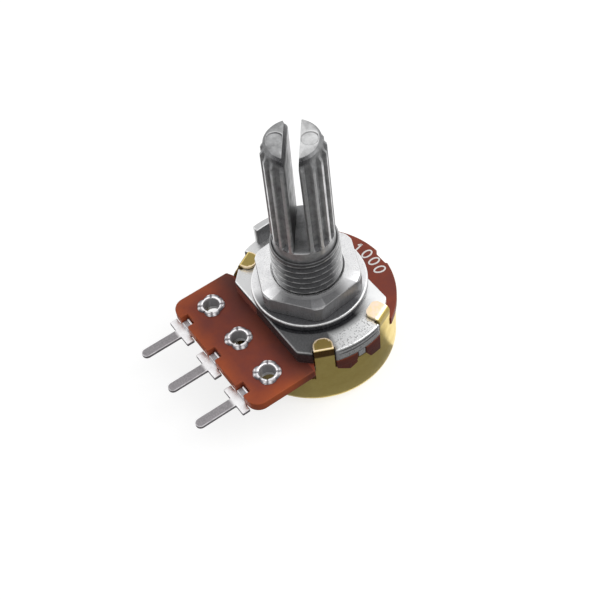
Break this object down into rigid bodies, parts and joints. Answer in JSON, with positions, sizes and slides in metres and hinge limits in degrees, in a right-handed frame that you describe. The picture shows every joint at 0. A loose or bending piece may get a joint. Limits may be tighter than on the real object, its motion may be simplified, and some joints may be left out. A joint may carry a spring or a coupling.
{
  "type": "panel-mount rotary potentiometer",
  "caption": "Round panel-mount rotary potentiometer with a split, splined shaft, threaded bushing with nut and washer, and in-line solder pins on a laminate board.",
  "frame": {"origin": "on the shaft's axis, in the mounting face (the front of the plate, where the bushing leaves it)", "axes": "+Z along the shaft, out of the panel; -Y the way the solder pins point; the locating tab is at -X"},
  "size_m": [0.017, 0.0254, 0.0286],
  "materials": {
    "cast_zinc": "satin as-cast zinc",
    "shaft_zinc": "satin cast and drawn zinc, darker",
    "plated_steel": "bright plated steel",
    "phenolic": "satin red-brown laminate",
    "carbon": "matt carbon print",
    "silver_print": "satin silver print",
    "tinned_brass": "satin tin plate",
    "can_metal": "satin passivated sheet",
    "moulding": "matt moulded plastic",
    "spring_metal": "satin spring bronze",
    "spring_steel": "satin spring steel"
  },
  "bodies": {
    "body": {"bushing_plate": "cast_zinc", "element_board": "phenolic", "carbon_track": "carbon", "collector_ring": "silver_print", "silver_land_left": "silver_print", "silver_land_right": "silver_print", "pin_left": "tinned_brass", "pin_wiper": "tinned_brass", "pin_right": "tinned_brass", "rear_can": "can_metal"},
    "rotor": {"shaft": "shaft_zinc", "retaining_clip": "spring_steel", "wiper_carrier": "moulding", "wiper_spring": "spring_metal"},
    "lock_washer": {"washer": "plated_steel"},
    "bushing_nut": {"nut": "plated_steel"}
  },
  "joints": [
    {"name": "shaft_turn", "type": "hinge", "parent": "body", "child": "rotor", "pos_m": [0, 0, 0], "axis": [0, 0, -1], "range_deg": [0, 300]},
    {"name": "nut_travel", "type": "slide", "parent": "body", "child": "lock_washer", "axis": [0, 0, 1], "range_m": [0, 0.006]},
    {"name": "nut_turn", "type": "hinge", "parent": "lock_washer", "child": "bushing_nut", "pos_m": [0, 0, 0], "axis": [0, 0, 1], "range_deg": [0, 2881]}
  ],
  "couplings": [
    {"joint": "nut_turn", "follows": "nut_travel", "rad_per_m": 8377.6}
  ]
}
